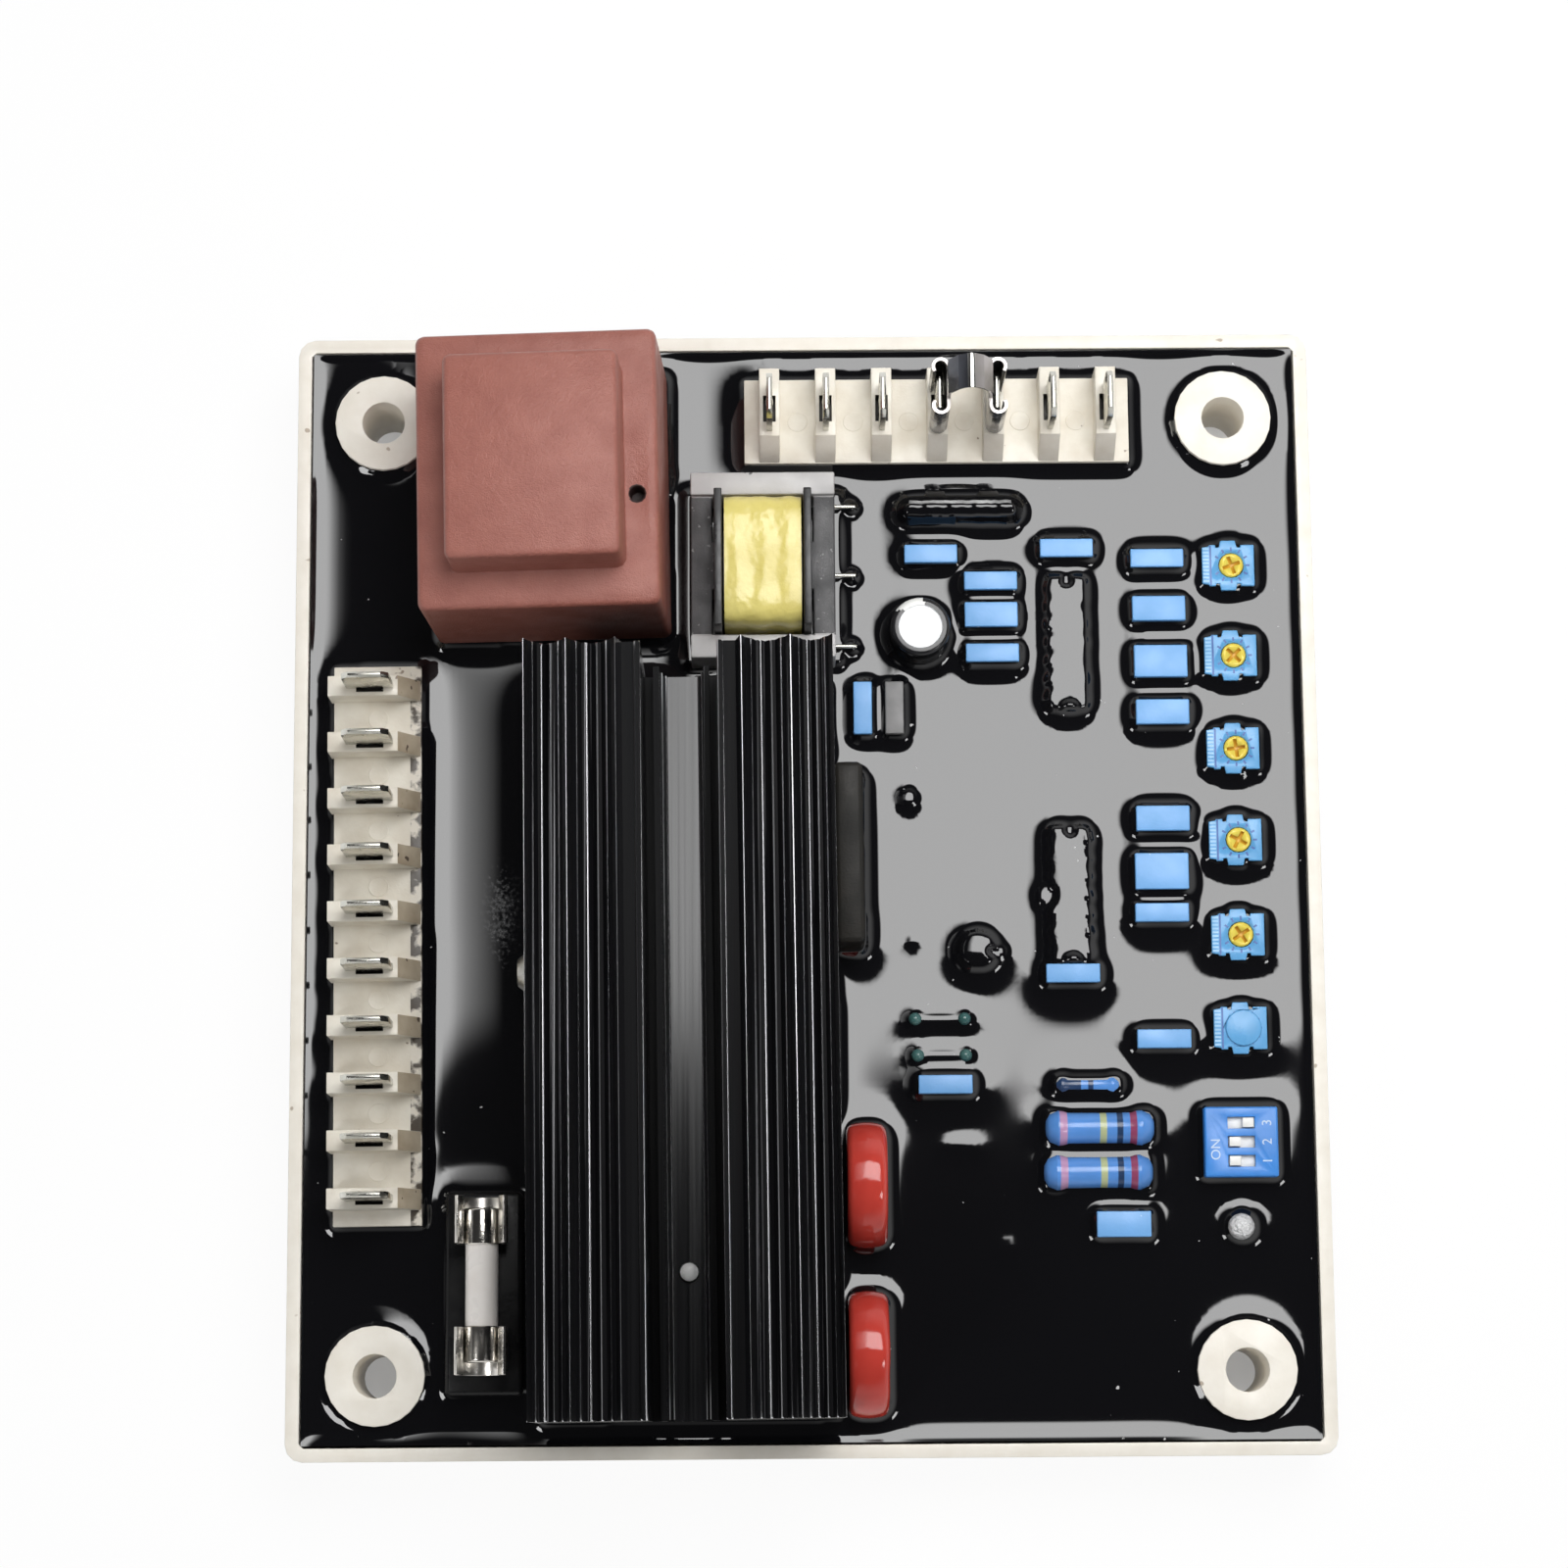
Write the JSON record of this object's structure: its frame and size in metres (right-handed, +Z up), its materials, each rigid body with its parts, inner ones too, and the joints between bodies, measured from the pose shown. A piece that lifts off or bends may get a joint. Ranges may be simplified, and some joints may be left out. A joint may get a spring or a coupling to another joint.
{
  "type": "automatic voltage regulator",
  "caption": "Generator voltage regulator board potted in black resin in a cream tray, with blade tabs, fuse, heat sink, transformers, trimmers and a small switch bank.",
  "frame": {"origin": "middle of the tray's underside", "axes": "+Z up out of the resin, +Y towards the side with the seven-tab row, +X towards the trimmers"},
  "size_m": [0.1386, 0.1524, 0.0501],
  "materials": {
    "cream_moulding": "moulded cream plastic, slightly satin",
    "board_laminate": "green glass-fibre laminate, sealed in the resin",
    "black_resin": "glossy black potting resin that creeps up every part",
    "red_brown_case": "fine-grained red-brown moulding",
    "ferrite": "light grey ground legs, darker rough yokes",
    "black_former": "black coil former",
    "yellow_tape": "glossy yellow polyester tape, slightly wrinkled",
    "black_anodised": "black anodised extrusion with bright nicks on its ridges",
    "bright_steel": "bright screw and rivet",
    "black_package": "black moulded power package",
    "black_holder": "black fuse holder base",
    "nickel_sheet": "nickel-plated spring clips",
    "nickel_cap": "nickel-plated fuse caps",
    "white_ceramic": "white ceramic fuse tube",
    "strip_cream": "cream terminal moulding with tinned tabs",
    "bright_link": "tinned spring sheet",
    "film_blue": "light blue box film capacitors",
    "grey_box": "grey box capacitor",
    "capacitor_sleeve": "black sleeve with a bright top",
    "red_dip": "glossy red dipped coating",
    "trimmer_blue": "light blue trimmer bodies",
    "trimmer_yellow": "yellow cross-slotted rotors",
    "switch_blue": "blue switch body with pale lettering",
    "slider_white": "white switch sliders",
    "resistor_blue": "blue lacquered resistors with coloured bands",
    "clear_lamp": "clear lamp"
  },
  "bodies": {
    "regulator": {"tray": "cream_moulding", "circuit_board": "board_laminate", "potting_resin": "black_resin", "transformer_case": "red_brown_case", "ferrite_core": "ferrite", "coil_former": "black_former", "coil_winding": "yellow_tape", "heat_sink": "black_anodised", "channel_rivet": "bright_steel", "clamp_screw": "bright_steel", "power_package": "black_package", "fuse_holder": "black_holder", "fuse_clip_rear": "nickel_sheet", "fuse_clip_front": "nickel_sheet", "fuse_cap_rear": "nickel_cap", "fuse_cap_front": "nickel_cap", "fuse_tube": "white_ceramic", "terminal_strip_top": "strip_cream", "terminal_strip_side": "strip_cream", "jumper_link": "bright_link", "film_capacitor_1": "film_blue", "film_capacitor_2": "film_blue", "film_capacitor_3": "film_blue", "film_capacitor_4": "film_blue", "film_capacitor_5": "film_blue", "film_capacitor_6": "film_blue", "film_capacitor_7": "film_blue", "film_capacitor_8": "film_blue", "film_capacitor_9": "film_blue", "film_capacitor_10": "film_blue", "film_capacitor_11": "film_blue", "film_capacitor_12": "film_blue", "film_capacitor_13": "film_blue", "film_capacitor_14": "film_blue", "film_capacitor_15": "film_blue", "film_capacitor_16": "film_blue", "film_capacitor_17": "film_blue", "grey_capacitor": "grey_box", "electrolytic_capacitor": "capacitor_sleeve", "dipped_disc_rear": "red_dip", "dipped_disc_front": "red_dip", "trimmer_body_1": "trimmer_blue", "trimmer_body_2": "trimmer_blue", "trimmer_body_3": "trimmer_blue", "trimmer_body_4": "trimmer_blue", "trimmer_body_5": "trimmer_blue", "trimmer_body_6": "trimmer_blue", "dip_switch_body": "switch_blue", "resistor_1": "resistor_blue", "resistor_2": "resistor_blue", "resistor_3": "resistor_blue", "indicator_lamp": "clear_lamp"},
    "rotor_1": {"trimmer_rotor_1": "trimmer_yellow"},
    "rotor_2": {"trimmer_rotor_2": "trimmer_yellow"},
    "rotor_3": {"trimmer_rotor_3": "trimmer_yellow"},
    "rotor_4": {"trimmer_rotor_4": "trimmer_yellow"},
    "rotor_5": {"trimmer_rotor_5": "trimmer_yellow"},
    "switch_slider_1": {"dip_slider_1": "slider_white"},
    "switch_slider_2": {"dip_slider_2": "slider_white"},
    "switch_slider_3": {"dip_slider_3": "slider_white"}
  },
  "joints": [
    {"name": "trimmer_1_turn", "type": "hinge", "parent": "regulator", "child": "rotor_1", "pos_m": [0.05815, 0.0435, 0.0147], "axis": [0, 0, 1], "range_deg": [-130, 130]},
    {"name": "trimmer_2_turn", "type": "hinge", "parent": "regulator", "child": "rotor_2", "pos_m": [0.05815, 0.031, 0.0147], "axis": [0, 0, 1], "range_deg": [-130, 130]},
    {"name": "trimmer_3_turn", "type": "hinge", "parent": "regulator", "child": "rotor_3", "pos_m": [0.05815, 0.0182, 0.0147], "axis": [0, 0, 1], "range_deg": [-130, 130]},
    {"name": "trimmer_4_turn", "type": "hinge", "parent": "regulator", "child": "rotor_4", "pos_m": [0.05815, 0.00565, 0.0147], "axis": [0, 0, 1], "range_deg": [-130, 130]},
    {"name": "trimmer_5_turn", "type": "hinge", "parent": "regulator", "child": "rotor_5", "pos_m": [0.05815, -0.0072, 0.0147], "axis": [0, 0, 1], "range_deg": [-130, 130]},
    {"name": "switch_1_slide", "type": "slide", "parent": "regulator", "child": "switch_slider_1", "axis": [1, 0, 0], "range_m": [0, 0.0018]},
    {"name": "switch_2_slide", "type": "slide", "parent": "regulator", "child": "switch_slider_2", "axis": [1, 0, 0], "range_m": [0, 0.0018]},
    {"name": "switch_3_slide", "type": "slide", "parent": "regulator", "child": "switch_slider_3", "axis": [1, 0, 0], "range_m": [-0.0018, 0]}
  ]
}
